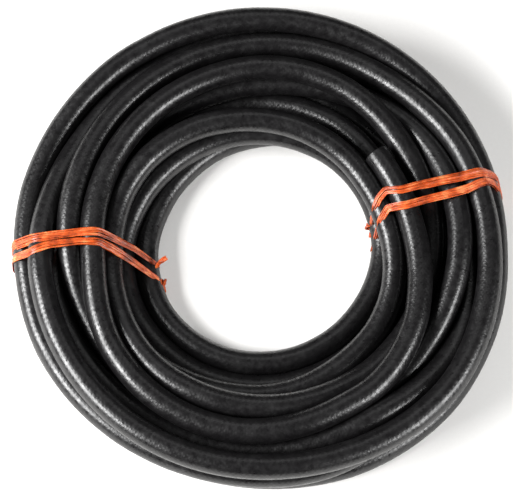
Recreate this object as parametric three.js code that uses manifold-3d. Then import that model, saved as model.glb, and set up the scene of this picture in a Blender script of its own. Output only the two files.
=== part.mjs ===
// Coil of rubber fuel hose, lying flat and held by two twine ties.
// Millimetres, +Z up. The coil is one turned solid whose turns show as ridges,
// with the open end of the hose on its top. Each tie is two wraps and a knot.

import * as THREE from 'three';
import { mergeVertices } from 'three/addons/utils/BufferGeometryUtils.js';
import Module from 'manifold-3d';

// Hose
const hoseDiameter = 15;
const hoseBore = 8;
const boreDepth = 45;

// Coil: turns lie in layers that nest a little, because a hose wound by hand crosses itself
const coilHoleDiameter = 134;
const turnPitch = 15.3;
const layerRise = 14;
const bottomTurns = 5;
const middleTurns = 5;
const topTurns = 3;

// Last turn: it lies on top, inside the full top turns, and sinks at its far end
const endAzimuth = 40;
const lastTurnSweep = 215;
const sinkSweep = 70;

// Ties
const tieWidth = 4.8;
const tieThickness = 1.2;
const tieClearance = 0.8;
const grooveClearance = 0.3;
const wrapSpacing = 8;
const leftTieAzimuth = 184;
const rightTieAzimuth = 13;
const knotLength = 14;
const knotHeight = 7;
const knotThickness = 4.4;

// Fineness of the faceted solids
const coilSegments = 40;
const ridgeStep = 30;
const hullStep = 15;
const valleyAngle = 12;
const sweepSteps = 52;
const boreSteps = 8;
const tubeSides = 12;

// Sizes worked out from the ones above
const hoseRadius = hoseDiameter / 2;
const innerTurnRadius = coilHoleDiameter / 2 + hoseRadius;
const lastTurnRadius = innerTurnRadius + turnPitch;
const lastTurnHeight = hoseRadius + 2 * layerRise;

const radians = THREE.MathUtils.degToRad;
const wasm = await Module();
wasm.setup();

// Solids and meshes
function toSolid(geometry) {
  geometry.deleteAttribute('normal');
  geometry.deleteAttribute('uv');
  const merged = mergeVertices(geometry, 1e-4);
  return new wasm.Manifold(new wasm.Mesh({
    numProp: 3,
    vertProperties: new Float32Array(merged.attributes.position.array),
    triVerts: new Uint32Array(merged.index.array),
  }));
}

function toGeometry(solid) {
  const { vertProperties, triVerts } = solid.getMesh();
  const geometry = new THREE.BufferGeometry();
  geometry.setAttribute('position', new THREE.BufferAttribute(vertProperties, 3));
  geometry.setIndex(new THREE.BufferAttribute(triVerts, 1));
  geometry.computeVertexNormals();
  return geometry;
}

// Centres of the turns in a section through the coil: x is radius, y is height
function layerOfTurns(count, layer, firstRadius) {
  const centre = (i) => new THREE.Vector2(firstRadius + i * turnPitch, hoseRadius + layer * layerRise);
  return Array.from({ length: count }, (_, i) => centre(i));
}

const bottomLayer = layerOfTurns(bottomTurns, 0, innerTurnRadius);
const middleLayer = layerOfTurns(middleTurns, 1, innerTurnRadius + turnPitch / 2);
const topLayer = layerOfTurns(topTurns, 2, lastTurnRadius + turnPitch);
const lastTurnCentre = new THREE.Vector2(lastTurnRadius, lastTurnHeight);

// A point on the facets of one turn. The facets' middles lie on its true circle.
function ridgePoint(centre, degrees, step, reach = hoseRadius) {
  const corner = reach / Math.cos(radians(step / 2));
  const angle = radians(degrees);
  return new THREE.Vector2(centre.x + corner * Math.cos(angle), centre.y + corner * Math.sin(angle));
}

// Outline of the coil's section: the outer side of each outer turn, valleys between
function coilOutline() {
  const outerSide = [middleLayer.at(-1)];
  const innerSide = [middleLayer[0]];
  const loop = [...bottomLayer, ...outerSide, ...[...topLayer].reverse(), middleLayer[1], ...innerSide];
  const outline = [];
  loop.forEach((centre, i) => {
    const before = loop[(i + loop.length - 1) % loop.length];
    const after = loop[(i + 1) % loop.length];
    const start = THREE.MathUtils.radToDeg(before.clone().sub(centre).angle()) + valleyAngle;
    let end = THREE.MathUtils.radToDeg(after.clone().sub(centre).angle()) - valleyAngle;
    if (end < start) end += 360;
    const first = Math.ceil((start - ridgeStep / 2) / ridgeStep) * ridgeStep + ridgeStep / 2;
    for (let angle = first; angle <= end; angle += ridgeStep) {
      outline.push(ridgePoint(centre, angle, ridgeStep));
    }
  });
  return outline;
}

// Last turn: an arc around the coil that sinks one layer at its far end
class LastTurnCurve extends THREE.Curve {
  constructor(startAngle, sweep) {
    super();
    this.startAngle = startAngle;
    this.sweep = sweep;
  }

  getPoint(t, target = new THREE.Vector3()) {
    const along = t * this.sweep;
    const angle = radians(this.startAngle - along);
    const sunk = THREE.MathUtils.smoothstep(along, lastTurnSweep - sinkSweep, lastTurnSweep);
    const height = lastTurnHeight - layerRise * sunk;
    return target.set(lastTurnRadius * Math.cos(angle), lastTurnRadius * Math.sin(angle), height);
  }
}

function tubeAlong(curve, radius, steps) {
  const section = new THREE.Shape();
  section.absarc(0, 0, radius, 0, 2 * Math.PI);
  const options = { steps, extrudePath: curve, curveSegments: tubeSides / 2, bevelEnabled: false };
  const geometry = new THREE.ExtrudeGeometry(section, options);
  return toSolid(geometry);
}

// Convex outline around the turns at a tie, pushed out by a margin and cut flat below
function tieOutline(turns, margin, floor) {
  const points = [];
  for (const centre of turns) {
    for (let angle = 0; angle < 360; angle += hullStep) {
      const point = ridgePoint(centre, angle, hullStep, hoseRadius + margin);
      point.y = Math.max(point.y, floor);
      points.push(point);
    }
  }
  return convexHull(points);
}

function convexHull(points) {
  const sorted = [...points].sort((a, b) => a.x - b.x || a.y - b.y);
  const turnsLeft = (a, b, c) => (b.x - a.x) * (c.y - a.y) - (b.y - a.y) * (c.x - a.x) > 1e-6;
  const half = (list) => {
    const chain = [];
    for (const point of list) {
      while (chain.length > 1 && !turnsLeft(chain.at(-2), chain.at(-1), point)) chain.pop();
      chain.push(point);
    }
    return chain.slice(0, -1);
  };
  return [...half(sorted), ...half(sorted.reverse())];
}

// Moves a shape drawn in the section to its azimuth, offset sideways from the radial plane
function placeAtAzimuth(geometry, depth, offset, azimuth) {
  geometry.translate(0, 0, -depth / 2);
  geometry.rotateX(Math.PI / 2);
  geometry.translate(0, offset, 0);
  geometry.rotateZ(radians(azimuth));
  return geometry;
}

function wrapSolid(turns, offset, azimuth) {
  const outer = new THREE.Shape(tieOutline(turns, tieClearance + tieThickness, 0));
  outer.holes.push(new THREE.Path(tieOutline(turns, tieClearance, tieThickness)));
  const geometry = new THREE.ExtrudeGeometry(outer, { depth: tieWidth, bevelEnabled: false });
  return toSolid(placeAtAzimuth(geometry, tieWidth, offset, azimuth));
}

// Knot on the hole side, beside the innermost turn, where the twine slopes up the bundle
function knotSolid(azimuth) {
  const slope = middleLayer[0].clone().sub(bottomLayer[0]).normalize();
  const outward = new THREE.Vector2(-slope.y, slope.x);
  const reach = hoseRadius + tieClearance + knotThickness / 2;
  const centre = bottomLayer[0].clone().addScaledVector(outward, reach);
  const geometry = new THREE.SphereGeometry(0.5, 12, 8);
  geometry.scale(knotThickness, knotHeight, knotLength);
  geometry.rotateZ(outward.angle());
  geometry.translate(centre.x, centre.y, 0);
  geometry.rotateX(Math.PI / 2);
  geometry.rotateZ(radians(azimuth));
  return toSolid(geometry);
}

function tieSolid(azimuth, turns) {
  const first = wrapSolid(turns, -wrapSpacing / 2, azimuth);
  const second = wrapSolid(turns, wrapSpacing / 2, azimuth);
  return first.add(second).add(knotSolid(azimuth));
}

// Groove under the coil for one wrap, so that the coil and its ties rest on one plane
function grooveSolid(offset, azimuth) {
  const inner = innerTurnRadius - hoseDiameter;
  const outer = middleLayer.at(-1).x + hoseDiameter;
  const top = tieThickness + grooveClearance;
  const width = tieWidth + 2 * grooveClearance;
  const geometry = new THREE.BoxGeometry(outer - inner, width, 2 * top);
  geometry.translate((inner + outer) / 2, offset, 0);
  geometry.rotateZ(radians(azimuth));
  return toSolid(geometry);
}

function hoseCoil() {
  const outline = coilOutline();
  const turned = new THREE.LatheGeometry([...outline, outline[0]], coilSegments);
  turned.rotateX(Math.PI / 2);
  let solid = toSolid(turned);
  solid = solid.add(tubeAlong(new LastTurnCurve(endAzimuth, lastTurnSweep), hoseRadius, sweepSteps));
  const openBy = THREE.MathUtils.radToDeg(hoseRadius / lastTurnRadius);
  const boreSweep = THREE.MathUtils.radToDeg(boreDepth / lastTurnRadius) + openBy;
  solid = solid.subtract(tubeAlong(new LastTurnCurve(endAzimuth + openBy, boreSweep), hoseBore / 2, boreSteps));
  for (const azimuth of [leftTieAzimuth, rightTieAzimuth]) {
    for (const offset of [-wrapSpacing / 2, wrapSpacing / 2]) {
      solid = solid.subtract(grooveSolid(offset, azimuth));
    }
  }
  return solid;
}

// Materials
const rubber = new THREE.MeshStandardMaterial({ color: 0x2a2829, roughness: 0.45, metalness: 0 });
const orangeTwine = new THREE.MeshStandardMaterial({ color: 0xe66c31, roughness: 0.4, metalness: 0 });

function namedMesh(name, solid, material) {
  const mesh = new THREE.Mesh(toGeometry(solid), material);
  mesh.name = name;
  return mesh;
}

// Assembly: the right tie also crosses the last turn, which the left one doesn't meet
const fullTurns = [...bottomLayer, ...middleLayer, ...topLayer];
const object = new THREE.Group();
object.add(namedMesh('hose_coil', hoseCoil(), rubber));
object.add(namedMesh('tie_left', tieSolid(leftTieAzimuth, fullTurns), orangeTwine));
object.add(namedMesh('tie_right', tieSolid(rightTieAzimuth, [...fullTurns, lastTurnCentre]), orangeTwine));

// Origin under the middle of the whole object's box, on the surface that it lies on
const box = new THREE.Box3().setFromObject(object);
const middle = box.getCenter(new THREE.Vector3());
object.position.set(-middle.x, -middle.y, -box.min.z);
object.updateMatrixWorld(true);

export default object;
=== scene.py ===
import math

import bpy
import numpy as np
from bpy.props import FloatProperty, FloatVectorProperty, IntProperty, PointerProperty
from mathutils import Matrix


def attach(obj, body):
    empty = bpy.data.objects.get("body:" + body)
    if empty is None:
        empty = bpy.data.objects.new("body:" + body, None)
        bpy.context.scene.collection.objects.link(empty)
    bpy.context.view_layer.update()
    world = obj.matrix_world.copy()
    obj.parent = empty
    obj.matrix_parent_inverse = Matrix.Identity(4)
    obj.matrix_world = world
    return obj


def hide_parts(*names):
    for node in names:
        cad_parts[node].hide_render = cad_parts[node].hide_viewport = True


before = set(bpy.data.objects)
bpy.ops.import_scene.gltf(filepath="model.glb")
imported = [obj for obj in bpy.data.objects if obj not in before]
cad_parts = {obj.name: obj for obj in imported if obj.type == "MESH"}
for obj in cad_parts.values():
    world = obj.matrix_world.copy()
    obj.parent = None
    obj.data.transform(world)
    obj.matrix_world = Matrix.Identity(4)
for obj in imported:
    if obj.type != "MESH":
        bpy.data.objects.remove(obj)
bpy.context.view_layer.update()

bl_info = {
    "name": "Coil of fuel hose",
    "version": (1, 0, 0),
    "blender": (4, 5, 0),
    "location": "3D View > Sidebar > Fuel hose",
    "description": "A tied coil of rubber fuel hose, with its twine ties, floor, lights and camera",
    "category": "Object",
}

MM = 0.001


def linear(hex_colour):
    """sRGB hex value to the linear colour that the shaders take"""
    parts = [(hex_colour >> shift & 255) / 255 for shift in (16, 8, 0)]
    return [p / 12.92 if p <= 0.04045 else ((p + 0.055) / 1.055) ** 2.4 for p in parts] + [1.0]


# The photograph's frame and the camera that took it

PHOTO_WIDTH = 513
PHOTO_HEIGHT = 501
CAMERA_ELEVATION = math.radians(70.5)
CAMERA_DISTANCE = 1150 * MM
SEEN_METRES_PER_PIXEL = 0.612 * MM
FOCAL_PIXELS = CAMERA_DISTANCE / SEEN_METRES_PER_PIXEL
SENSOR_MM = 36

# The coil's centre at mid height, and the pixel where it shows
COIL_CENTRE = np.array([1.1, 0.0, 21.0]) * MM
COIL_PIXEL = (264.0, 245.5)

CAMERA_RIGHT = np.array([1.0, 0.0, 0.0])
CAMERA_UP = np.array([0.0, math.sin(CAMERA_ELEVATION), math.cos(CAMERA_ELEVATION)])
CAMERA_AHEAD = np.array([0.0, math.cos(CAMERA_ELEVATION), -math.sin(CAMERA_ELEVATION)])
CAMERA_PLACE = COIL_CENTRE - CAMERA_AHEAD * CAMERA_DISTANCE


def point_at_pixel(x, y, height):
    """The point at that height, in metres, that shows at a pixel of the photograph"""
    across = (np.asarray(x) - COIL_PIXEL[0]) / FOCAL_PIXELS
    upward = (COIL_PIXEL[1] - np.asarray(y)) / FOCAL_PIXELS
    way = np.multiply.outer(across, CAMERA_RIGHT) + np.multiply.outer(upward, CAMERA_UP) + CAMERA_AHEAD
    reach = (np.asarray(height) - CAMERA_PLACE[2]) / way[..., 2]
    return CAMERA_PLACE + way * reach[..., None]


# The hose's route. It winds clockwise from its open end on top to its far end at the hole.
# Where it shows, a station is the azimuth in degrees, the distance in pixels about ROUTE_PIXEL,
# and the height in mm. A fourth number below 1 lets the turns that cross there push it aside.

ROUTE_PIXEL = (264.0, 250.0)
LOW = 7.5
MIDDLE = 21.5
HIGH = 35.5
HIDDEN_HOLD = 0.15

LAST_TURN_ON_TOP = [
    (41, 138.5, HIGH), (30, 137.5, HIGH), (20, 141, HIGH), (10, 147, HIGH), (0, 153, HIGH),
    (-15, 162, HIGH), (-30, 173, HIGH), (-45, 181, HIGH), (-60, 184.5, HIGH), (-90, 185.5, HIGH),
    (-120, 183, HIGH),
]
SECOND_TURN = [
    (-150, 178, HIGH), (-180, 175, HIGH), (-210, 177, HIGH), (-240, 180, HIGH), (-270, 183, HIGH),
    (-300, 183, HIGH), (-330, 176, HIGH), (-340, 175, 34.5), (-360, 171, 31.5), (-372, 167.5, 25.5),
    (-385, 164.5, 23.5), (-400, 163, 27.5), (-420, 160, HIGH), (-450, 158, HIGH), (-480, 161, 28.5),
    (-510, 169, 22.5),
]
THIRD_TURN = [
    (-525, 170, MIDDLE), (-550, 159, MIDDLE), (-570, 153, 23.5), (-580, 150, 25.5), (-590, 145, 28.5),
    (-600, 140, 30.5), (-610, 135, 33.5), (-630, 130, 34.5), (-645, 129, 30.5), (-660, 129, 25.5),
    (-680, 129, 22.5), (-690, 129, MIDDLE), (-720, 135, 22.5), (-730, 137, 23.5), (-740, 140, 23.5),
    (-750, 142, 22.5), (-760, 144, MIDDLE), (-780, 149, MIDDLE), (-810, 152, MIDDLE),
    (-840, 160, MIDDLE, 0.2), (-880, 182, MIDDLE, 0.2), (-900, 186, MIDDLE, 0.2), (-920, 181, MIDDLE, 0.2),
]
FOURTH_TURN = [
    (-935, 176, MIDDLE), (-940, 174, MIDDLE), (-950, 168, MIDDLE), (-960, 164.5, 22.5),
    (-990, 164, 22.5), (-1020, 177, MIDDLE), (-1035, 191, MIDDLE), (-1050, 193, 22.5),
    (-1060, 198, 25.5), (-1080, 199.5, 27.5), (-1090, 198.5, 27.5), (-1100, 197, 26.5),
    (-1110, 192.5, 24.5), (-1120, 188, MIDDLE), (-1140, 185.5, 20.5, 0.2), (-1180, 185.5, 20.5, 0.2),
]
FIFTH_TURN = [
    (-1204, 186, MIDDLE), (-1220, 189, 22.5), (-1230, 191, 23.5), (-1240, 195, 26.5), (-1260, 199, 34.5),
    (-1290, 203, HIGH), (-1320, 205, HIGH), (-1335, 206.5, HIGH), (-1350, 207.5, HIGH),
    (-1380, 211, HIGH), (-1400, 217, HIGH), (-1420, 222, 34.5), (-1440, 227, 32.5), (-1468, 228, 33.5),
    (-1485, 226, HIGH), (-1500, 222, HIGH), (-1530, 217.6, HIGH), (-1560, 221, HIGH),
    (-1590, 223, HIGH), (-1610, 222, 29.5), (-1630, 221, 24.5), (-1640, 219, MIDDLE),
    (-1650, 213, MIDDLE),
]
RIM_TURN_UNDER_THE_TOP = [
    (-1665, 214, 20.5, 0.2), (-1690, 222, 19.5, 0.2), (-1710, 225, 19.5, 0.2), (-1750, 228, 13.5, 0.2),
    (-1790, 228, LOW, 0.2), (-1815, 220, LOW, 0.2), (-1835, 214, 13.5, 0.2), (-1860, 217, 20.5, 0.3),
    (-1890, 221.8, MIDDLE), (-1920, 225, MIDDLE), (-1950, 228, MIDDLE), (-1960, 231, MIDDLE),
]
OUTERMOST_TURN = [
    (-1970, 234.5, MIDDLE), (-1980, 238, 24.5), (-1990, 240, 27.5), (-2000, 241, 32.5), (-2010, 240, 34.5),
    (-2020, 238, 34.5), (-2030, 235, 34.5), (-2050, 232, 34.5), (-2070, 231.5, 34.5), (-2100, 233, 33.5),
    (-2130, 233, 27.5), (-2160, 231, MIDDLE), (-2165, 232, 19.5), (-2175, 235, 17.5), (-2190, 236, 15.5),
    (-2205, 235, 11.5), (-2220, 233, 9.5), (-2230, 231, LOW), (-2240, 228, LOW), (-2260, 227, LOW),
    (-2280, 228, LOW), (-2290, 231, LOW), (-2305, 236, LOW), (-2323, 238, LOW),
]

# Turns inside the bundle, which the photo doesn't show: azimuth, radius in mm about the coil's
# axis, and height in mm
HIDDEN_TURNS = [
    (-2350, 145, LOW), (-2430, 146.5, LOW), (-2470, 143, LOW), (-2500, 132, LOW), (-2520, 124, LOW),
    (-2550, 116, LOW), (-2580, 120, LOW), (-2610, 127, LOW), (-2660, 129, LOW), (-2700, 131, LOW),
    (-2790, 133, LOW), (-2840, 130, LOW), (-2880, 128, 8.5), (-2920, 130, 15.5), (-2960, 133, 20.5),
    (-3000, 132, 19.5), (-3030, 124, 13.5), (-3060, 116, LOW), (-3110, 116, LOW), (-3150, 117, LOW),
    (-3180, 111, LOW), (-3240, 111, LOW), (-3330, 110, LOW), (-3380, 110, LOW), (-3420, 107, LOW),
]

TURN_AT_THE_FAR_SIDE = [
    (-3490, 161, LOW), (-3510, 153.5, 8.5), (-3540, 143, 11.5), (-3557, 141, 13.5), (-3600, 145, 10.5, 0.2),
    (-3640, 142, LOW, 0.2), (-3660, 139, LOW, 0.3), (-3690, 138, LOW), (-3720, 139, LOW),
    (-3750, 139, 8.5), (-3770, 138, 10), (-3790, 135, 12.5), (-3810, 129, 15.5), (-3820, 126.5, 18.5),
    (-3840, 123.5, 20.5), (-3870, 122, MIDDLE),
]
FAR_END_TURN_AT_THE_HOLE = [
    (-3900, 116, 19.5), (-3915, 117, 17.5), (-3930, 118, 15.5), (-3945, 120, 13.5), (-3960, 121, 10.5),
    (-3970, 119.5, 9.5), (-3980, 117, 8.5), (-3990, 115, LOW), (-4000, 114, LOW), (-4020, 113, LOW),
    (-4050, 114, LOW), (-4080, 117, LOW), (-4095, 119, LOW), (-4115, 121, LOW), (-4140, 118, LOW),
    (-4160, 113.5, LOW), (-4190, 112, LOW), (-4210, 112.5, LOW), (-4230, 113.5, LOW),
    (-4245, 119, LOW, 0.1), (-4265, 132, LOW, 0.1), (-4290, 141, LOW, 0.1), (-4322, 145, LOW, 0.1),
]

# Spacing of the route's points, and of the azimuths at which it is first drawn
ROUTE_STEP = 5 * MM
FIRST_TURN_STEP = math.radians(2.4)

# The rounds in which the turns settle on one another. The pull towards the photo's places is
# strong at first and weak at last, so that turns that touch have the last word.
SETTLE_ROUNDS = 400
TOP_OF_ROUTE = 36.8 * MM
STIFF_REACHES = (1, 3, 6)
STIFFNESS = 0.3
END_STRAIGHTENING = 0.5
STRETCH_REPAIR = 0.25
PULL_AT_LAST = 0.05
PULL_MORE_AT_FIRST = 0.25
PULL_IN_DEPTH = 0.01
FIRMLY_HELD = 0.9
LOOSE_SHARE = 0.06
SINK_A_ROUND = 0.08 * MM
ROUNDS_BETWEEN_SEARCHES = 8
SEARCH_MARGIN = 4 * MM
OWN_LENGTH_SKIPPED = 3
PUSHES_A_ROUND = 6
PUSH_STRENGTH = 1.5
POINTS_COMPARED_AT_ONCE = 400

# Edges of the hole and of the rim in the photograph: azimuth, and pixels about ROUTE_PIXEL
HOLE_EDGE = [
    (0, 107.5), (25, 106), (60, 104.5), (90, 101.5), (135, 98.5), (160, 101), (180, 105.5), (210, 108),
    (240, 105), (270, 101.5), (300, 101), (330, 103), (360, 107.5),
]
RIM_EDGE = [
    (0, 243.5), (90, 243), (120, 245), (140, 250), (155, 253), (178, 250.5), (205, 250), (240, 240.5),
    (270, 239.5), (300, 245), (320, 249), (345, 247), (360, 243.5),
]
RIM_RADIUS = 154.5 * MM


def seen_points(stations):
    """Points in metres for stations that show in the photograph, and how firmly each is held"""
    rows = np.array([s[:3] for s in stations], float)
    turn = np.radians(rows[:, 0])
    x = ROUTE_PIXEL[0] + rows[:, 1] * np.cos(turn)
    y = ROUTE_PIXEL[1] - rows[:, 1] * np.sin(turn)
    hold = np.array([s[3] if len(s) > 3 else 1.0 for s in stations])
    return point_at_pixel(x, y, rows[:, 2] * MM), hold


def hidden_points(stations):
    """Points in metres for stations inside the bundle, and how firmly each is held"""
    rows = np.array(stations, float)
    turn = np.radians(rows[:, 0])
    x = COIL_CENTRE[0] + rows[:, 1] * MM * np.cos(turn)
    y = COIL_CENTRE[1] + rows[:, 1] * MM * np.sin(turn)
    return np.stack([x, y, rows[:, 2] * MM], 1), np.full(len(rows), HIDDEN_HOLD)


def eased(x, y, wanted):
    """Smooth curve through given points that never overshoots them"""
    step = np.diff(x)
    slope = np.diff(y) / step
    lean = np.zeros_like(y)
    same = slope[:-1] * slope[1:] > 0
    first = (2 * step[1:] + step[:-1])[same]
    second = (step[1:] + 2 * step[:-1])[same]
    lean[1:-1][same] = (first + second) / (first / slope[:-1][same] + second / slope[1:][same])
    lean[0] = slope[0]
    lean[-1] = slope[-1]
    k = np.clip(np.searchsorted(x, wanted) - 1, 0, len(step) - 1)
    t = (wanted - x[k]) / step[k]
    ends = (2 * t**3 - 3 * t**2 + 1) * y[k] + (3 * t**2 - 2 * t**3) * y[k + 1]
    leans = (t**3 - 2 * t**2 + t) * lean[k] + (t**3 - t**2) * lean[k + 1]
    return ends + leans * step[k]


def lengths_along(points):
    """Length from the first point to each point of a route"""
    return np.concatenate([[0], np.cumsum(np.linalg.norm(np.diff(points, axis=0), axis=1))])


def even_points(points, step):
    """Points of a route, spaced evenly at about that step"""
    along = lengths_along(points)
    wanted = np.linspace(0, along[-1], int(along[-1] // step) + 1)
    return np.stack([np.interp(wanted, along, points[:, k]) for k in range(3)], 1)


def first_route():
    """Even points through all stations, and how firmly each is held to its place"""
    on_top = LAST_TURN_ON_TOP + SECOND_TURN + THIRD_TURN + FOURTH_TURN + FIFTH_TURN
    outside = RIM_TURN_UNDER_THE_TOP + OUTERMOST_TURN
    inside = TURN_AT_THE_FAR_SIDE + FAR_END_TURN_AT_THE_HOLE
    groups = [seen_points(on_top + outside), hidden_points(HIDDEN_TURNS), seen_points(inside)]
    points = np.concatenate([g[0] for g in groups]) - COIL_CENTRE
    hold = np.concatenate([g[1] for g in groups])
    turned = -np.unwrap(np.arctan2(points[:, 1], points[:, 0]))
    order = np.argsort(turned)
    turned = turned[order]
    radius = np.hypot(points[:, 0], points[:, 1])[order]
    dense = np.arange(turned[0], turned[-1], FIRST_TURN_STEP)
    radius = eased(turned, radius, dense)
    height = eased(turned, points[order, 2], dense)
    route = np.stack([radius * np.cos(dense), -radius * np.sin(dense), height], 1) + COIL_CENTRE
    along = lengths_along(route)
    even = even_points(route, ROUTE_STEP)
    hold = np.interp(np.linspace(0, along[-1], len(even)), along, np.interp(dense, turned, hold[order]))
    return even, hold


def near_pairs(points, reach, skip):
    """Pairs of points of the route that lie close together but belong to different turns"""
    found = []
    for start in range(0, len(points), POINTS_COMPARED_AT_ONCE):
        some = points[start:start + POINTS_COMPARED_AT_ONCE, None]
        apart = ((some - points[None]) ** 2).sum(-1)
        i, j = np.nonzero(apart < reach * reach)
        i = i + start
        later = j - i > skip
        found.append(np.stack([i[later], j[later]]))
    return np.concatenate(found, axis=1)


def keep_within_edges(points, radius):
    """Moves points level, so that the hose shows neither inside the hole's edge nor outside the rim's"""
    rel = points - CAMERA_PLACE
    depth = rel @ CAMERA_AHEAD
    x = FOCAL_PIXELS * (rel @ CAMERA_RIGHT) / depth + COIL_PIXEL[0] - ROUTE_PIXEL[0]
    y = FOCAL_PIXELS * (rel @ CAMERA_UP) / depth + ROUTE_PIXEL[1] - COIL_PIXEL[1]
    seen = np.hypot(x, y)
    turn = np.degrees(np.arctan2(y, x)) % 360
    half = radius / SEEN_METRES_PER_PIXEL
    inner = np.interp(turn, *np.array(HOLE_EDGE).T) + half
    outer = np.interp(turn, *np.array(RIM_EDGE).T) - half
    fix = (np.clip(seen, inner, outer) / seen - 1) * SEEN_METRES_PER_PIXEL
    points[:, 0] += fix * x
    points[:, 1] += fix * y / math.sin(CAMERA_ELEVATION)
    flat = points[:, :2] - COIL_CENTRE[:2]
    over = np.minimum((RIM_RADIUS - radius) / np.hypot(flat[:, 0], flat[:, 1]), 1)
    points[:, :2] = COIL_CENTRE[:2] + flat * over[:, None]


def height_over_ties(points, thickness):
    """Lowest height of the hose's centre: it rises a little where it lies on the twine"""
    turn = np.arctan2(points[:, 1], points[:, 0])
    rise = np.zeros(len(points))
    for azimuth in TIE_AZIMUTHS:
        off = np.abs((turn - azimuth + math.pi) % (2 * math.pi) - math.pi)
        rise = np.maximum(rise, thickness * np.exp(-((off / TIE_RISE_SPREAD) ** 2)))
    return rise


def settled_route(diameter, under_ties):
    """The route after its turns have been stiff, stayed in the photo's places and stopped overlapping"""
    points, hold = first_route()
    aim = points.copy()
    ray = points - CAMERA_PLACE
    ray /= np.linalg.norm(ray, axis=1)[:, None]
    spacing = np.linalg.norm(np.diff(points, axis=0), axis=1).mean()
    firm = np.where(hold >= FIRMLY_HELD, 1.0, LOOSE_SHARE)
    count = len(points)
    skip = int(OWN_LENGTH_SKIPPED * diameter / ROUTE_STEP)
    floor = diameter / 2 + height_over_ties(points, under_ties)
    for k in range(SETTLE_ROUNDS):
        late = k / SETTLE_ROUNDS
        if k % ROUNDS_BETWEEN_SEARCHES == 0:
            i, j = near_pairs(points, diameter + SEARCH_MARGIN, skip)
        # Stiffness, near and far along the hose
        for reach in STIFF_REACHES:
            nearer = 4 * (points[reach:-3 * reach] + points[3 * reach:-reach])
            fair = (nearer - points[:-4 * reach] - points[4 * reach:]) / 6
            points[2 * reach:-2 * reach] += STIFFNESS * (fair - points[2 * reach:-2 * reach])
        # The cut ends run out straight
        for end in (points, points[::-1]):
            end[1] += END_STRAIGHTENING * (2 * end[2] - end[3] - end[1])
            end[0] += END_STRAIGHTENING * (2 * end[1] - end[2] - end[0])
        # The hose neither stretches nor shortens
        gap = np.diff(points, axis=0)
        length = np.linalg.norm(gap, axis=1)[:, None]
        fix = STRETCH_REPAIR * (length - spacing) * gap / length
        points[:-1] += fix
        points[1:] -= fix
        # Place in the photograph, and weight
        off = aim - points
        along = (off * ray).sum(1)[:, None] * ray
        pull = PULL_AT_LAST + PULL_MORE_AT_FIRST * (1 - late)
        points += (pull * firm)[:, None] * (off - along) + PULL_IN_DEPTH * (1 - late) * along
        points[:, 2] -= SINK_A_ROUND
        # Turns that touch push each other apart
        for _ in range(PUSHES_A_ROUND):
            gap = points[j] - points[i]
            length = np.linalg.norm(gap, axis=1)
            hit = length < diameter
            a = i[hit]
            b = j[hit]
            push = (0.5 * (diameter - length[hit]) / length[hit])[:, None] * gap[hit]
            shares = np.maximum(np.bincount(a, minlength=count) + np.bincount(b, minlength=count), 1)
            for axis in range(3):
                moved = np.bincount(b, push[:, axis], count) - np.bincount(a, push[:, axis], count)
                points[:, axis] += PUSH_STRENGTH * moved / shares
            points[:, 2] = np.clip(points[:, 2], floor, TOP_OF_ROUTE)
            keep_within_edges(points, diameter / 2)
    return even_points(points, ROUTE_STEP)


# Ties. Each wrap of twine follows pixels of the photograph, with the height in mm at each.

TIE_AZIMUTHS = (math.radians(184), math.radians(13))
TIE_RISE_SPREAD = math.radians(6)

LEFT_WRAPS = [
    [(8.4, 254, 21), (14.5, 243, 33), (33.5, 237, 44), (56, 234, 44.5), (78, 232, 44.5), (100, 231, 44.5),
     (112, 234, 43), (134, 244.5, 33), (156, 260, 22), (162, 270, 12), (163, 276, 7)],
    [(10, 261, 21), (15, 255.5, 33), (28, 251, 43), (50, 243.5, 44.5), (78, 241, 44.5), (100, 241, 44.5),
     (112, 245, 43), (128, 255, 35), (145, 267.5, 25), (162, 281, 13), (164.5, 287, 7)],
]
RIGHT_WRAPS = [
    [(501, 180, 22), (492, 174, 33), (482.6, 172, 42), (462, 176, 44.5), (442, 180, 44.5), (421, 185, 44.5),
     (401, 194, 38), (384, 202, 22), (377, 213, 13), (372, 225, 8), (370, 233, 6)],
    [(502, 193, 22), (493, 184, 33), (486, 182, 40), (467, 188.5, 44.5), (447, 194, 44.5), (426, 199, 44.5),
     (406, 206, 42), (394, 212, 32), (386, 219, 20), (379.5, 231, 12), (374.5, 242, 8), (372.5, 248, 6)],
]
# Where the knot and the frayed ends show: pixel and height in mm
LEFT_KNOT = (162, 284, 9)
LEFT_TAILS = [
    [(156, 268, 17), (158.5, 263.5, 20), (162, 260.5, 22), (167, 257.5, 22)],
    [(162, 284, 9), (164, 289, 6), (163, 293, 3)],
]
RIGHT_KNOT = (371, 232, 8)
RIGHT_TAILS = [
    [(372, 230, 9), (371, 234, 9), (371, 238, 8)],
    [(375.5, 240, 11), (373.5, 246.5, 9), (372.5, 252, 8)],
]
FIBRE_STEP = 1.6 * MM
LOOSE_STEP = 0.6 * FIBRE_STEP

# The upright sheet that a wrap lies in: how far it runs on past the wrap's ends, and its least step
SHEET_RUNS_ON = 40 * MM
SHEET_STEP = 2.5 * MM
SIDES_OF_A_TURN = 48
SMOOTHINGS = 3
TWINE_OFF_HOSE = 0.25 * MM
TWINE_OFF_FLOOR = 0.02 * MM

# One fibre: its corners in parts of its width and thickness, and their places across it
FIBRE_CORNERS = [(-0.5, 0.0), (-0.3, -0.5), (0.3, -0.5), (0.5, 0.0), (0.3, 0.5), (-0.3, 0.5)]
FIBRE_ACROSS = np.array([0, 0.3, 0.7, 1, 0.7, 0.3, 0])
FIBRE_TIP_WIDTH = 0.15
FIBRE_TIP_THICKNESS = 0.3
FIBRE_THICKNESS = 0.17 * MM
FIBRE_WIDTHS = (1.9, 2.9)
FIBRE_WANDER = 0.11
FIBRE_LEAN = 0.45
STREAK_SHIFT = 40
WAVE_SPREAD = 1.6

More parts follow.
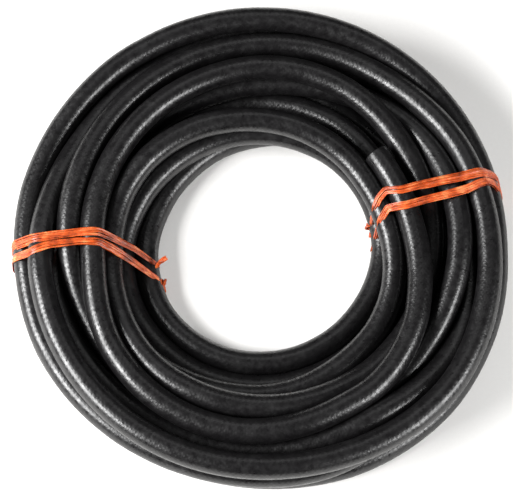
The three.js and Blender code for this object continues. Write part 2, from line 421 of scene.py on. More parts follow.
# Each wrap is flat and wide on top, and gathered into a narrow cord towards its knot at the hole
TOP_FROM = 30 * MM
TOP_OVER = 12 * MM
GATHERED_OVER = 34 * MM
GATHERED_NARROWER = 0.42
WIDTH_UNEVEN = 0.07
CROWN_ON_TOP = 0.45 * MM
CROWN_GATHERED = 0.8 * MM
CROWN_UNDER = 0.1 * MM
UNDER_BELOW = 6 * MM

# Twisted strands: the knot and the loose ends
KNOT_SIZE = (5.0 * MM, 7.5 * MM, 2.8 * MM)
KNOT_OFF_TWINE = 1.9 * MM
KNOT_STRAND = 0.85 * MM
KNOT_FIBRES = 7
KNOT_THICKNESS = 0.2 * MM
KNOT_OPENING = 0.25
TAIL_FROM = 0.8 * MM
TAIL_TO = 1.7 * MM
TAIL_FIBRES = 9
TAIL_THICKNESS = 0.16 * MM
TWIST_A_POINT = 0.11
TWIST_UNEVEN = 0.3
STRAND_WIDTHS = (0.95, 1.3)


# Nodes and materials

def add_node(tree, kind, settings=None, stops=(), feeds=None, **links):
    """One node with its settings and its ramp's stops. Links hold each input's value or the output
    that feeds it, and feeds is the socket that its own first output goes to."""
    node = tree.nodes.new(kind)
    for name, value in (settings or {}).items():
        setattr(node, name, value)
    for k, (place, colour) in enumerate(stops):
        elements = node.color_ramp.elements
        element = elements[k] if k < len(elements) else elements.new(place)
        element.position = place
        element.color = colour
    for name, value in links.items():
        # A name such as _1 is the number of an input, where several have the same name
        key = int(name[1:]) if name[0] == "_" else name.replace("_", " ")
        socket = node.inputs[key]
        if isinstance(value, bpy.types.NodeSocket):
            tree.links.new(value, socket)
        else:
            socket.default_value = value
    if feeds is not None:
        tree.links.new(node.outputs[0], feeds)
    return node


def new_material(name):
    """A new material, its node tree and its shader"""
    material = bpy.data.materials.new(name)
    material.use_nodes = True
    tree = material.node_tree
    return material, tree, tree.nodes["Principled BSDF"]


# Nitrile rubber cured in a cloth wrap: near black and half gloss. The cloth leaves a print of its
# weave, which lies askew round the hose and breaks the highlights into soft beads about 2 mm apart.
# A real weave is finer than a millimetre. It is drawn as coarse as the render needs to show it.
PRINTS_ROUND_HOSE = 15
WEAVE_ASKEW = math.radians(45)
WEAVE_WOBBLE = 1.2
WEAVE_DEPTH = 0.05 * MM
# A wave texture of scale 1 repeats at this distance
WAVE_PERIOD = 2 * math.pi / 20
MOTTLE = 3.4 * MM
MOTTLE_DEPTH = 0.16 * MM
SAG = 18 * MM
SAG_DEPTH = 0.9 * MM
SCUFF = 9 * MM
WORN_PALER = 0.006
COVER_ROUGHNESS = (0.26, 0.42)
NITRILE_IOR = 1.52


def cover_rubber_material(colour, diameter):
    """The hose's cover: near black, half gloss, with soft broken highlights and faintly worn places"""
    material, tree, shader = new_material("Nitrile rubber cured in a cloth wrap")
    print_size = math.pi * diameter / PRINTS_ROUND_HOSE / math.sqrt(2)
    uv = add_node(tree, "ShaderNodeUVMap", {"uv_map": "along_and_round"}).outputs["UV"]
    place = add_node(tree, "ShaderNodeTexCoord").outputs["Object"]
    askew = add_node(tree, "ShaderNodeMapping", Vector=uv, Rotation=(0.0, 0.0, WEAVE_ASKEW))
    threads = []
    for direction in ("X", "Y"):
        settings = {"wave_type": "BANDS", "bands_direction": direction, "wave_profile": "SIN"}
        threads.append(add_node(tree, "ShaderNodeTexWave", settings, Vector=askew.outputs[0],
                                Scale=WAVE_PERIOD / print_size, Distortion=WEAVE_WOBBLE).outputs["Fac"])
    weave = add_node(tree, "ShaderNodeMath", {"operation": "MULTIPLY"}, _0=threads[0], _1=threads[1])
    mottle = add_node(tree, "ShaderNodeTexNoise", Vector=place, Scale=1 / MOTTLE, Detail=2.0).outputs["Fac"]
    sag = add_node(tree, "ShaderNodeTexNoise", Vector=place, Scale=1 / SAG, Detail=1.0).outputs["Fac"]
    scuff = add_node(tree, "ShaderNodeTexNoise", Vector=place, Scale=1 / SCUFF, Detail=5.0, Roughness=0.65)
    worn = [c + WORN_PALER for c in colour[:3]] + [1.0]
    add_node(tree, "ShaderNodeValToRGB", stops=[(0.5, colour), (0.75, worn)], Fac=scuff.outputs["Fac"],
             feeds=shader.inputs["Base Color"])
    low, high = COVER_ROUGHNESS
    add_node(tree, "ShaderNodeMapRange", Value=mottle, From_Min=0.3, From_Max=0.7, To_Min=low, To_Max=high,
             feeds=shader.inputs["Roughness"])
    slow = add_node(tree, "ShaderNodeBump", Height=sag, Strength=0.3, Distance=SAG_DEPTH)
    lumpy = add_node(tree, "ShaderNodeBump", Height=mottle, Strength=0.9, Distance=MOTTLE_DEPTH,
                     Normal=slow.outputs[0])
    add_node(tree, "ShaderNodeBump", Height=weave.outputs[0], Strength=0.8, Distance=WEAVE_DEPTH,
             Normal=lumpy.outputs[0], feeds=shader.inputs["Normal"])
    shader.inputs["IOR"].default_value = NITRILE_IOR
    return material


# Rayon braid between two layers of rubber, cut across: matt ends of yarn in a pale fuzzy ring
YARN = 0.45 * MM
YARN_DEPTH = 0.15 * MM


def braid_material():
    """The cut ends of the braid: pale yarn with dark rubber between"""
    material, tree, shader = new_material("Rayon braid, cut through")
    place = add_node(tree, "ShaderNodeTexCoord").outputs["Object"]
    ends = add_node(tree, "ShaderNodeTexVoronoi", Vector=place, Scale=1 / YARN).outputs["Distance"]
    stops = [(0.2, linear(0xB9B2A4)), (0.75, linear(0x4B4742))]
    add_node(tree, "ShaderNodeValToRGB", stops=stops, Fac=ends, feeds=shader.inputs["Base Color"])
    add_node(tree, "ShaderNodeBump", Height=ends, Strength=0.8, Distance=YARN_DEPTH,
             feeds=shader.inputs["Normal"])
    shader.inputs["Roughness"].default_value = 0.9
    return material


# Nitrile rubber, extruded in the bore and knife cut at the end: smoother and flatter black
KNIFE_MARKS = 1.2 * MM
KNIFE_DEPTH = 0.1 * MM


def lining_material():
    """The bore and the cut face: flat black with faint knife marks"""
    material, tree, shader = new_material("Nitrile rubber, extruded and knife cut")
    place = add_node(tree, "ShaderNodeTexCoord").outputs["Object"]
    cut = add_node(tree, "ShaderNodeTexNoise", Vector=place, Scale=1 / KNIFE_MARKS, Detail=4.0).outputs["Fac"]
    stops = [(0.3, linear(0x121112)), (0.7, linear(0x232122))]
    add_node(tree, "ShaderNodeValToRGB", stops=stops, Fac=cut, feeds=shader.inputs["Base Color"])
    add_node(tree, "ShaderNodeMapRange", Value=cut, To_Min=0.4, To_Max=0.7, feeds=shader.inputs["Roughness"])
    add_node(tree, "ShaderNodeBump", Height=cut, Strength=0.4, Distance=KNIFE_DEPTH,
             feeds=shader.inputs["Normal"])
    return material


# Polypropylene film twine, stretched and split: glossy streaks along it, a few tenths of a
# millimetre wide, that vary at random in tone. The darkest are painted shade, as between its folds,
# and the palest painted light, as where light comes through the thin film.
SPLIT = 0.45 * MM
SPLIT_LENGTH = 22 * MM
SPLIT_DEPTH = 0.12 * MM
PATCH = 7 * MM
TWINE_PAINTED_SHADE = 0.22
POLYPROPYLENE_IOR = 1.49
LIGHT_PASSES = 1.2 * MM


def film_twine_material(colour, pale):
    """The twine: glossy orange with fine streaks along it, the darkest painted shade and the palest painted
    light
    """
    material, tree, shader = new_material("Polypropylene film twine, split")
    uv = add_node(tree, "ShaderNodeUVMap", {"uv_map": "along_and_across"}).outputs["UV"]
    along = add_node(tree, "ShaderNodeMapping", Vector=uv, Scale=(1 / SPLIT_LENGTH, 1 / SPLIT, 1.0))
    streak = add_node(tree, "ShaderNodeTexNoise", Vector=along.outputs[0], Scale=1.0, Detail=4.0)
    streak = streak.outputs["Fac"]
    place = add_node(tree, "ShaderNodeTexCoord").outputs["Object"]
    patch = add_node(tree, "ShaderNodeTexNoise", Vector=place, Scale=1 / PATCH, Detail=2.0).outputs["Fac"]
    mixed = add_node(tree, "ShaderNodeMath", {"operation": "MULTIPLY"}, _0=streak, _1=patch)
    tone = add_node(tree, "ShaderNodeMapRange", Value=mixed.outputs[0], From_Min=0.12, From_Max=0.42)
    # Painted shade and painted light: random streaks run from a darkened copy of the twine's colour to a pale
    # one
    painted_shade = [c * TWINE_PAINTED_SHADE for c in colour[:3]] + [1.0]
    add_node(tree, "ShaderNodeValToRGB", stops=[(0.0, painted_shade), (0.5, colour), (1.0, pale)], Fac=tone.outputs[0],
             feeds=shader.inputs["Base Color"])
    add_node(tree, "ShaderNodeMapRange", Value=streak, To_Min=0.22, To_Max=0.5,
             feeds=shader.inputs["Roughness"])
    add_node(tree, "ShaderNodeBump", Height=streak, Strength=0.7, Distance=SPLIT_DEPTH,
             feeds=shader.inputs["Normal"])
    shader.inputs["IOR"].default_value = POLYPROPYLENE_IOR
    shader.inputs["Subsurface Weight"].default_value = 0.25
    shader.inputs["Subsurface Radius"].default_value = (1.0, 0.35, 0.12)
    shader.inputs["Subsurface Scale"].default_value = LIGHT_PASSES
    return material


# Uncoated card: pale, matt and even, with hardly any grain
CARD_GRAIN = 2 * MM
CARD_DARKER = 0.985


def floor_material(colour):
    """The floor: a pale matt ground"""
    material, tree, shader = new_material("Matt card, uncoated")
    place = add_node(tree, "ShaderNodeTexCoord").outputs["Object"]
    grain = add_node(tree, "ShaderNodeTexNoise", Vector=place, Scale=1 / CARD_GRAIN, Detail=4.0)
    darker = [c * CARD_DARKER for c in colour[:3]] + [1.0]
    add_node(tree, "ShaderNodeValToRGB", stops=[(0.35, darker), (0.65, colour)], Fac=grain.outputs["Fac"],
             feeds=shader.inputs["Base Color"])
    shader.inputs["Roughness"].default_value = 0.85
    return material


# Meshes

def new_piece(name, vertices, faces, materials, uv_name=None, uvs=None, face_materials=None):
    """A smooth-shaded object from vertices and faces, with its UV layer and each face's material"""
    mesh = bpy.data.meshes.new(name)
    mesh.from_pydata(vertices.tolist(), [], faces)
    for material in materials:
        mesh.materials.append(material)
    mesh.polygons.foreach_set("use_smooth", [True] * len(mesh.polygons))
    if face_materials is not None:
        mesh.polygons.foreach_set("material_index", face_materials)
    if uvs is not None:
        mesh.uv_layers.new(name=uv_name).data.foreach_set("uv", np.asarray(uvs, np.float32).ravel())
    mesh.update()
    piece = bpy.data.objects.new(name, mesh)
    bpy.context.scene.collection.objects.link(piece)
    return piece


def frames_along(points):
    """Direction of travel, sideways and up at each point of a route that never stands upright"""
    ahead = np.gradient(points, axis=0)
    ahead /= np.linalg.norm(ahead, axis=1)[:, None]
    side = np.cross(ahead, [0.0, 0.0, 1.0])
    side /= np.linalg.norm(side, axis=1)[:, None]
    return ahead, side, np.cross(side, ahead)


# The cut ends: how round their edges are, where the braid lies in the wall from bore to cover,
# and how deep the bore is modelled
EDGE_ROUND = 0.35 * MM
BRAID_INNER = 0.48
BRAID_MIDDLE = 0.55
BRAID_OUTER = 0.62
BORE_SHOWN = 60 * MM
BORE_RINGS = 24
RUBBER, BRAID, LINING = range(3)

# The wall is a little uneven along its length: share of the radius, length and start of each wave
WALL_WAVES = ((0.006, 31 * MM, 0.0), (0.005, 73 * MM, 1.0))


def end_rings(bore, outer):
    """Rings from the bottom of the bore to the cover, as (depth from the end, radius, material after it)"""
    wall = outer - bore
    rings = [(depth, bore, LINING) for depth in np.linspace(BORE_SHOWN, 2 * EDGE_ROUND, BORE_RINGS)]
    rings += [(0.3 * EDGE_ROUND, bore + 0.1 * EDGE_ROUND, LINING), (0.0, bore + 0.6 * EDGE_ROUND, LINING)]
    rings.append((0.0, bore + BRAID_INNER * wall, BRAID))
    rings.append((-0.1 * EDGE_ROUND, bore + BRAID_MIDDLE * wall, BRAID))
    rings += [(0.0, bore + BRAID_OUTER * wall, LINING), (0.0, outer - EDGE_ROUND, RUBBER)]
    rings += [(0.3 * EDGE_ROUND, outer - 0.3 * EDGE_ROUND, RUBBER), (EDGE_ROUND, outer, RUBBER)]
    return rings


def hose_rings(total, bore, outer):
    """All rings of the hose, from the bottom of one bore to the bottom of the other"""
    start = end_rings(bore, outer)
    body = [(s, outer, RUBBER) for s in np.linspace(0, total, int(total / ROUTE_STEP))[1:-1]]
    finish = []
    mirrored = start[::-1]
    kinds = [kind for _, _, kind in mirrored[1:]] + [LINING]
    for (depth, radius, _), kind in zip(mirrored, kinds):
        finish.append((total - depth, radius, kind))
    return start + body + finish


def hose_mesh(route, bore, outer, sides):
    """Vertices, faces, each face's material and UVs in metres of the whole hose along its route"""
    along = lengths_along(route)
    rings = hose_rings(along[-1], bore, outer)
    place = np.array([r[0] for r in rings])
    inside = np.clip(place, 0, along[-1])
    ahead, side, up = frames_along(route)
    centre, ahead, side, up = (
        np.stack([np.interp(inside, along, v[:, k]) for k in range(3)], 1) for v in (route, ahead, side, up)
    )
    centre = centre + (place - inside)[:, None] * ahead
    uneven = 1 + sum(share * np.sin(place / wave + shift) for share, wave, shift in WALL_WAVES)
    radius = np.array([r[1] for r in rings]) * uneven
    turn = np.linspace(0, 2 * math.pi, sides, endpoint=False) - math.pi / 2
    ring = np.cos(turn)[None, :, None] * side[:, None] + np.sin(turn)[None, :, None] * up[:, None]
    vertices = (centre[:, None] + radius[:, None, None] * ring).reshape(-1, 3)
    vertices[:, 2] = np.maximum(vertices[:, 2], 0)
    count = len(rings)
    vertices = np.concatenate([vertices, centre[[0, -1]]])
    length = np.concatenate([[0], np.cumsum(np.hypot(np.diff(place), np.diff(radius)))])
    k = np.arange(sides)
    after = (k + 1) % sides
    faces = []
    kinds = []
    uvs = []
    girth = 2 * math.pi * outer / sides
    for r in range(count - 1):
        low = r * sides
        high = low + sides
        faces += np.stack([low + k, high + k, high + after, low + after], 1).tolist()
        kinds += [rings[r][2]] * sides
        u0 = np.full(sides, length[r])
        u1 = np.full(sides, length[r + 1])
        v0 = k * girth
        v1 = (k + 1) * girth
        uvs.append(np.stack([u0, v0, u1, v0, u1, v1, u0, v1], 1))
    last = (count - 1) * sides
    # The bottoms of the two bores, each facing out of its own end
    for hub, low, order in ((count * sides, 0, 1), (count * sides + 1, last, -1)):
        corners = np.stack([np.full(sides, hub), low + k, low + after], 1)
        faces += corners[:, ::order].tolist()
        kinds += [LINING] * sides
        uvs.append(np.zeros((sides, 6)))
    uvs = np.concatenate([u.reshape(-1, 2) for u in uvs])
    return vertices, faces, kinds, uvs


# Twine round the bundle

def crossings(route, line):
    """Where the hose passes the upright sheet on a line in plan: distance along the line, and height"""
    start = line[:-1]
    way = np.diff(line, axis=0)
    along = np.concatenate([[0], np.cumsum(np.hypot(way[:, 0], way[:, 1]))])
    found = []
    step = np.diff(route, axis=0)
    for k in range(len(way)):
        cross = step[:, 0] * way[k, 1] - step[:, 1] * way[k, 0]
        rel = start[k] - route[:-1, :2]
        t = (rel[:, 0] * way[k, 1] - rel[:, 1] * way[k, 0]) / cross
        u = (rel[:, 0] * step[:, 1] - rel[:, 1] * step[:, 0]) / cross
        hit = (t >= 0) & (t < 1) & (u >= 0) & (u < 1)
        height = route[:-1, 2] + t * step[:, 2]
        found.append(np.stack([along[k] + u * np.hypot(*way[k]), height], 1)[hit])
    return np.concatenate(found)


def tight_outline(points):
    """Convex outline of points in a plane, anticlockwise"""
    points = points[np.lexsort((points[:, 1], points[:, 0]))]
    sides = []
    for ordered in (points, points[::-1]):
        chain = []
        for p in ordered:
            while len(chain) > 1:
                a = chain[-1] - chain[-2]
                b = p - chain[-2]
                if a[0] * b[1] - a[1] * b[0] > 0:
                    break
                chain.pop()
            chain.append(p)
        sides += chain[:-1]
    return np.array(sides)


def wrap_path(route, radius, wrap):
    """Closed path of one wrap round the turns that it crosses, with its outward and sideways directions"""
    marks = np.array(wrap, float)
    plan = point_at_pixel(marks[:, 0], marks[:, 1], marks[:, 2] * MM)[:, :2]
    # The sheet runs on straight past both ends, along the wrap's own mean direction
    run = plan[-1] - plan[0]
    run /= np.hypot(*run)
    plan = np.concatenate([[plan[0] - run * SHEET_RUNS_ON], plan, [plan[-1] + run * SHEET_RUNS_ON]])
    keep = [0]
    for k in range(1, len(plan)):
        if (plan[k] - plan[keep[-1]]) @ run > SHEET_STEP:
            keep.append(k)
    plan = plan[keep]
    hits = crossings(route, plan)
    angle = np.linspace(0, 2 * math.pi, SIDES_OF_A_TURN, endpoint=False)
    circle = np.stack([np.cos(angle), np.sin(angle)], 1) * (radius + TWINE_OFF_HOSE)
    ring = (hits[:, None] + circle[None]).reshape(-1, 2)
    ring[:, 1] = np.maximum(ring[:, 1], TWINE_OFF_HOSE)
    outline = tight_outline(ring)
    outline = np.concatenate([outline, outline[:1]])
    flat = even_points(np.column_stack([outline, np.zeros(len(outline))]), FIBRE_STEP)[:-1, :2]
    for _ in range(SMOOTHINGS):
        flat = 0.5 * flat + 0.25 * (np.roll(flat, 1, 0) + np.roll(flat, -1, 0))
    flat[:, 1] = np.maximum(flat[:, 1], TWINE_OFF_HOSE)
    along = np.concatenate([[0], np.cumsum(np.hypot(*np.diff(plan, axis=0).T))])
    smooth = np.stack([np.interp(flat[:, 0], along, plan[:, k]) for k in range(2)], 1)
    ahead = np.roll(flat, -1, 0) - np.roll(flat, 1, 0)
    ahead /= np.hypot(ahead[:, 0], ahead[:, 1])[:, None]
    line = np.gradient(plan, along, axis=0)
    heading = np.stack([np.interp(flat[:, 0], along, line[:, k]) for k in range(2)], 1)
    heading /= np.hypot(heading[:, 0], heading[:, 1])[:, None]
    points = np.column_stack([smooth, flat[:, 1]])
    out = np.column_stack([heading * ahead[:, 1:2], -ahead[:, 0]])
    sideways = np.column_stack([-heading[:, 1], heading[:, 0], np.zeros(len(heading))])
    return points, out, sideways


class TwineMesh:
    """Gathers flat fibres into one closed mesh of many strips"""

    def __init__(self):
        self.vertices = []
        self.faces = []
        self.uvs = []
        self.count = 0

    def fibre(self, points, out, sideways, width, thickness, closed, shift):
        """One flat fibre with six corners round it. Its ends taper to a point where it isn't closed."""
        n = len(points)
        # The section is the same both ways round, so it is turned to make the faces look outward
        if (np.gradient(points, axis=0) * np.cross(sideways, out)).sum() < 0:
            sideways = -sideways
        length = np.arange(n) * FIBRE_STEP + shift
        wide = np.broadcast_to(width, n).copy()
        thick = np.broadcast_to(thickness, n).copy()
        if not closed:
            wide[[0, -1]] *= FIBRE_TIP_WIDTH
            thick[[0, -1]] *= FIBRE_TIP_THICKNESS
        ring = []
        for a, b in FIBRE_CORNERS:
            ring.append(points + sideways * (a * wide)[:, None] + out * (b * thick)[:, None])
        self.vertices.append(np.stack(ring, 1).reshape(-1, 3))
        sides = len(FIBRE_CORNERS)
        k = np.arange(sides)
        after = (k + 1) % sides
        rings = n if closed else n - 1
        for r in range(rings):
            low = self.count + r * sides
            high = self.count + (r + 1) % n * sides
            self.faces += np.stack([low + k, low + after, high + after, high + k], 1).tolist()
            v0 = (FIBRE_ACROSS[k] + shift * STREAK_SHIFT) * wide[r]
            v1 = (FIBRE_ACROSS[k + 1] + shift * STREAK_SHIFT) * wide[r]
            u0 = np.full(sides, length[r])
            u1 = np.full(sides, length[r] + FIBRE_STEP)
            self.uvs.append(np.stack([u0, v0, u0, v1, u1, v1, u1, v0], 1).reshape(-1, 2))
        if not closed:
            self.faces.append((self.count + k[::-1]).tolist())
            self.faces.append((self.count + (n - 1) * sides + k).tolist())
            self.uvs.append(np.zeros((2 * sides, 2)))
        self.count += n * sides


def smooth_noise(rng, count, waves, closed=True):
    """Slow random waves along a fibre, the same at both ends of a closed one"""
    t = np.linspace(0, 2 * math.pi, count, endpoint=not closed)
    total = np.zeros(count)
    for w in range(1, waves + 1):
        total += rng.normal() * np.cos(w * t) / w + rng.normal() * np.sin(w * t) / w
    return total / WAVE_SPREAD


def fibre_bundle(twine, rng, points, out, sideways, width, crown_height, fibres):
    """Fibres of a closed wrap, side by side and a little crossed over the twine's width at each point"""
    n = len(points)
    for f in range(fibres):
        lane = (f + 0.5) / fibres - 0.5
        wander = FIBRE_WANDER * smooth_noise(rng, n, 7)
        lane = np.clip(lane + wander, -0.5, 0.5)
        crown = 1 - (2 * lane) ** 2
        # Fibres lie in three layers, and every other one keeps lower on the crown
        rise = FIBRE_THICKNESS * (0.6 + f % 3 * 0.75) + crown_height * crown * (0.55 + 0.45 * (f % 2))
        rise = rise + 0.12 * FIBRE_THICKNESS * smooth_noise(rng, n, 9)
        middle = points + sideways * (lane * width)[:, None] + out * rise[:, None]
        # Each strip leans a little, so the light catches it on its own
        lean = FIBRE_LEAN * smooth_noise(rng, n, 12)
        tilted = sideways * np.cos(lean)[:, None] + out * np.sin(lean)[:, None]
        raised = out * np.cos(lean)[:, None] - sideways * np.sin(lean)[:, None]
        strip = width / fibres * rng.uniform(*FIBRE_WIDTHS)
        twine.fibre(middle, raised, tilted, strip, FIBRE_THICKNESS, True, rng.uniform(0, 1))


def twine_along(twine, rng, line, radius, fibres, thickness, up):
    """A loose end or a knot's strand: fibres twisted round a line"""
    line = even_points(line, LOOSE_STEP)
    n = len(line)
    ahead = np.gradient(line, axis=0)
    ahead /= np.linalg.norm(ahead, axis=1)[:, None]
    side = np.cross(ahead, up)
    side /= np.maximum(np.linalg.norm(side, axis=1), 1e-9)[:, None]
    top = np.cross(side, ahead)
    radius = np.broadcast_to(radius, n)
    for f in range(fibres):
        uneven = TWIST_UNEVEN * smooth_noise(rng, n, 5, False)
        angle = 2 * math.pi * f / fibres + np.arange(n) * TWIST_A_POINT + uneven
        out = side * np.cos(angle)[:, None] + top * np.sin(angle)[:, None]
        around = top * np.cos(angle)[:, None] - side * np.sin(angle)[:, None]
        reach = radius * (0.62 + 0.16 * (f % 3))
        strip = radius * rng.uniform(*STRAND_WIDTHS)
        twine.fibre(line + out * reach[:, None], out, around, strip, thickness, False, rng.uniform(0, 1))


def knot_line():
    """A single overhand knot, drawn tight, about its own middle"""
    t = np.linspace(KNOT_OPENING, 2 * math.pi - KNOT_OPENING, 90)
    along = (2 + np.cos(3 * t)) * np.sin(2 * t) / 3
    across = (2 + np.cos(3 * t)) * np.cos(2 * t) / 3
    out = np.sin(3 * t)
    return np.stack([part * size / 2 for part, size in zip((along, across, out), KNOT_SIZE)], 1)


def add_tie(name, route, wraps, knot_mark, tail_marks, sizes, material, seed):
    """One tie: its wraps round the turns that they cross, its knot and its frayed ends"""
    rng = np.random.default_rng(seed)
    twine = TwineMesh()
    mark = point_at_pixel(knot_mark[0], knot_mark[1], knot_mark[2] * MM)
    nearest = None
    for wrap in wraps:
        points, out, sideways = wrap_path(route, sizes.hose_diameter / 2, wrap)
        middle = np.hypot(*(points[:, :2] - COIL_CENTRE[:2]).T)
        top = np.clip((points[:, 2] - TOP_FROM) / TOP_OVER, 0, 1)
        gathered = np.clip(1 - (middle - middle.min()) / GATHERED_OVER, 0, 1) * (1 - top)
        uneven = 1 + WIDTH_UNEVEN * smooth_noise(rng, len(points), 6)
        width = sizes.twine_width * (1 - GATHERED_NARROWER * gathered) * uneven
        crown = CROWN_ON_TOP + CROWN_GATHERED * gathered
        crown = np.where(points[:, 2] < UNDER_BELOW, CROWN_UNDER, crown)
        fibre_bundle(twine, rng, points, out, sideways, width, crown, sizes.fibres)
        apart = np.linalg.norm(points - mark, axis=1)
        k = int(np.argmin(apart))
        if nearest is None or apart[k] < nearest[0]:
            nearest = (apart[k], points[k], out[k], sideways[k])
    _, place, out, across = nearest
    along = np.cross(out, across)
    knot = knot_line()
    line = place + out * KNOT_OFF_TWINE + knot[:, :1] * along + knot[:, 1:2] * across + knot[:, 2:] * out
    twine_along(twine, rng, line, KNOT_STRAND, KNOT_FIBRES, KNOT_THICKNESS, out)
    for marks in tail_marks:
        rows = np.array(marks, float)
        corners = point_at_pixel(rows[:, 0], rows[:, 1], rows[:, 2] * MM)
        t = np.linspace(0, len(corners) - 1, 16)
        path = np.stack([np.interp(t, np.arange(len(corners)), corners[:, k]) for k in range(3)], 1)
        for _ in range(SMOOTHINGS):
            path[1:-1] = (path[:-2] + 2 * path[1:-1] + path[2:]) / 4
        spread = np.linspace(TAIL_FROM, TAIL_TO, len(even_points(path, LOOSE_STEP)))
        twine_along(twine, rng, path, spread, TAIL_FIBRES, TAIL_THICKNESS, np.array([0.0, 0.0, 1.0]))
    vertices = np.concatenate(twine.vertices)
    vertices[:, 2] = np.maximum(vertices[:, 2], TWINE_OFF_FLOOR)
    return new_piece(name, vertices, twine.faces, [material], "along_and_across", np.concatenate(twine.uvs))


# Settings

class FuelHoseSizes(bpy.types.PropertyGroup):
    hose_diameter: FloatProperty(
        name="Hose diameter", description="Outside of the hose", default=15 * MM, unit="LENGTH")
    hose_bore: FloatProperty(
        name="Hose bore", description="Inside of the hose", default=8 * MM, unit="LENGTH")
    twine_width: FloatProperty(
        name="Twine width", description="Width of the flat twine on top of the coil", default=4.8 * MM,
        unit="LENGTH")
    twine_rise: FloatProperty(
        name="Rise over twine", description="How far the hose lifts where it lies on the twine",
        default=1.3 * MM, unit="LENGTH")
    fibres: IntProperty(
        name="Fibres", description="Split fibres drawn in each wrap of twine", default=13)
    hose_sides: IntProperty(
        name="Hose sides", description="Flats round the hose, which the shading smooths", default=40)


class FuelHoseColours(bpy.types.PropertyGroup):
    rubber: FloatVectorProperty(
        name="Rubber", description="Colour of the hose's cover", default=linear(0x0E0D0E), size=4,
        subtype="COLOR")
    twine: FloatVectorProperty(
        name="Twine", description="Main colour of the twine", default=linear(0xCE521D), size=4,
        subtype="COLOR")
    # Painted light: the pale tone of the twine's palest streaks, as if light came through the thin film
    twine_painted_light: FloatVectorProperty(
        name="Twine, pale", description="Colour of the twine where it is split thin",
        default=linear(0xF0935C), size=4, subtype="COLOR")
    floor: FloatVectorProperty(
        name="Floor", description="Colour of the floor", default=linear(0xF4F3F1), size=4,
        subtype="COLOR")


# The stage: name, place, size and watts of each softbox, in metres about the middle of the floor.
# The long one on the left gives the bright highlights, and the others are fainter, as in the photo.
SOFTBOXES = [
    ("softbox on the left", (-1.0, -0.22, 0.74), (0.42, 1.0), 42),
    ("softbox at the front right", (0.92, -0.56, 0.62), (0.34, 0.8), 17),
    ("softbox above the far side", (0.05, 0.75, 1.2), (1.1, 0.45), 1.6),
]
SURROUNDINGS_STRENGTH = 0.05
FLOOR_HALF_WIDTH = 2.0
NEAREST_SEEN = 0.05


# Operators

class FUELHOSE_OT_stage(bpy.types.Operator):
    """Adds the floor, the soft lights, the pale surroundings and the photograph's camera"""
    bl_idname = "fuel_hose.stage"
    bl_label = "Stage and camera"

    def execute(self, context):
        scene = context.scene
        half = FLOOR_HALF_WIDTH
        corners = np.array([(-half, -half, 0), (half, -half, 0), (half, half, 0), (-half, half, 0)])
        colour = list(scene.fuel_hose_colours.floor)
        new_piece("floor", corners, [[0, 1, 2, 3]], [floor_material(colour)])
        for softbox in SOFTBOXES:
            self.add_light(*softbox)
        world = bpy.data.worlds.new("Pale studio")
        world.use_nodes = True
        background = world.node_tree.nodes["Background"]
        background.inputs["Color"].default_value = linear(0xFFFFFF)
        background.inputs["Strength"].default_value = SURROUNDINGS_STRENGTH
        scene.world = world
        # Plain display of the light, so that the floor is as white and the rubber as black as in the photo
        scene.view_settings.view_transform = "Standard"
        self.add_camera(scene)
        return {"FINISHED"}

    def add_light(self, name, place, size, power):
        """A softbox that faces the middle of the coil"""
        data = bpy.data.lights.new(name, "AREA")
        data.shape = "RECTANGLE"
        data.size, data.size_y = size
        data.energy = power
        light = bpy.data.objects.new(name, data)
        way = np.array(place) - COIL_CENTRE
        way /= np.linalg.norm(way)
        upward = np.array([0.0, 1.0, 0.0])
        side = np.cross(upward, way)
        side /= np.linalg.norm(side)
        upward = np.cross(way, side)
        turn = Matrix(np.stack([side, upward, way], 1).tolist()).to_4x4()
        light.matrix_world = Matrix.Translation(place) @ turn
        bpy.context.scene.collection.objects.link(light)

    def add_camera(self, scene):
        """The photograph's camera, with the small shift that its framing needs"""
        data = bpy.data.cameras.new("photo camera")
        data.sensor_fit = "HORIZONTAL"
        data.sensor_width = SENSOR_MM
        data.lens = SENSOR_MM * FOCAL_PIXELS / PHOTO_WIDTH
        data.shift_x = (PHOTO_WIDTH / 2 - COIL_PIXEL[0]) / PHOTO_WIDTH
        data.shift_y = (COIL_PIXEL[1] - PHOTO_HEIGHT / 2) / PHOTO_WIDTH
        data.clip_start = NEAREST_SEEN
        camera = bpy.data.objects.new("photo camera", data)
        axes = np.stack([CAMERA_RIGHT, CAMERA_UP, -CAMERA_AHEAD], 1)
        camera.matrix_world = Matrix.Translation(CAMERA_PLACE.tolist()) @ Matrix(axes.tolist()).to_4x4()
        scene.collection.objects.link(camera)
        scene.camera = camera


class FUELHOSE_OT_hose(bpy.types.Operator):
    """Winds the hose along its route, with its two cut ends"""
    bl_idname = "fuel_hose.hose"
    bl_label = "Hose"

    def execute(self, context):
        sizes = context.scene.fuel_hose_sizes
        colours = context.scene.fuel_hose_colours
        route = settled_route(sizes.hose_diameter, sizes.twine_rise)
        radius = sizes.hose_diameter / 2
        vertices, faces, kinds, uvs = hose_mesh(route, sizes.hose_bore / 2, radius, sizes.hose_sides)
        cover = cover_rubber_material(list(colours.rubber), sizes.hose_diameter)
        materials = [cover, braid_material(), lining_material()]
        hose = new_piece("fuel_hose", vertices, faces, materials, "along_and_round", uvs, kinds)
        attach(hose, "root")
        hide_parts("hose_coil")
        # The ties follow the route that the hose has taken
        context.scene["hose_route"] = route.ravel().tolist()
        return {"FINISHED"}


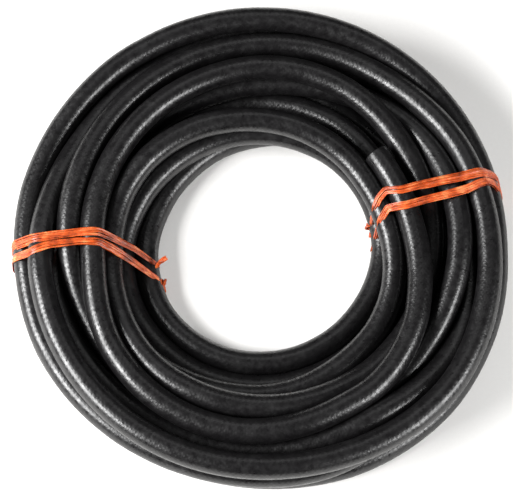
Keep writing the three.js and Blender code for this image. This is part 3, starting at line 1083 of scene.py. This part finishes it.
class FUELHOSE_OT_ties(bpy.types.Operator):
    """Wraps and knots the two lengths of twine round the coil"""
    bl_idname = "fuel_hose.ties"
    bl_label = "Twine ties"

    def execute(self, context):
        sizes = context.scene.fuel_hose_sizes
        colours = context.scene.fuel_hose_colours
        route = np.array(context.scene["hose_route"][:]).reshape(-1, 3)
        twine = film_twine_material(list(colours.twine), list(colours.twine_painted_light))
        left = add_tie("twine_left", route, LEFT_WRAPS, LEFT_KNOT, LEFT_TAILS, sizes, twine, 3)
        right = add_tie("twine_right", route, RIGHT_WRAPS, RIGHT_KNOT, RIGHT_TAILS, sizes, twine, 8)
        for tie, node in ((left, "tie_left"), (right, "tie_right")):
            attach(tie, "root")
            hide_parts(node)
        return {"FINISHED"}


class FUELHOSE_PT_panel(bpy.types.Panel):
    """Sizes, colours and steps of the coil"""
    bl_idname = "FUELHOSE_PT_panel"
    bl_label = "Fuel hose"
    bl_space_type = "VIEW_3D"
    bl_region_type = "UI"
    bl_category = "Fuel hose"

    def draw(self, context):
        layout = self.layout
        for group in (context.scene.fuel_hose_sizes, context.scene.fuel_hose_colours):
            for name in group.__annotations__:
                layout.prop(group, name)
        for operator in OPERATORS:
            layout.operator(operator.bl_idname)


GROUPS = (FuelHoseSizes, FuelHoseColours)
OPERATORS = (FUELHOSE_OT_stage, FUELHOSE_OT_hose, FUELHOSE_OT_ties)
CLASSES = GROUPS + OPERATORS + (FUELHOSE_PT_panel,)


def register():
    for item in CLASSES:
        bpy.utils.register_class(item)
    bpy.types.Scene.fuel_hose_sizes = PointerProperty(type=FuelHoseSizes)
    bpy.types.Scene.fuel_hose_colours = PointerProperty(type=FuelHoseColours)


def unregister():
    del bpy.types.Scene.fuel_hose_colours
    del bpy.types.Scene.fuel_hose_sizes
    for item in reversed(CLASSES):
        bpy.utils.unregister_class(item)


def main():
    register()
    bpy.ops.fuel_hose.stage()
    bpy.ops.fuel_hose.hose()
    bpy.ops.fuel_hose.ties()
    bpy.context.view_layer.update()


if __name__ == "__main__":
    main()
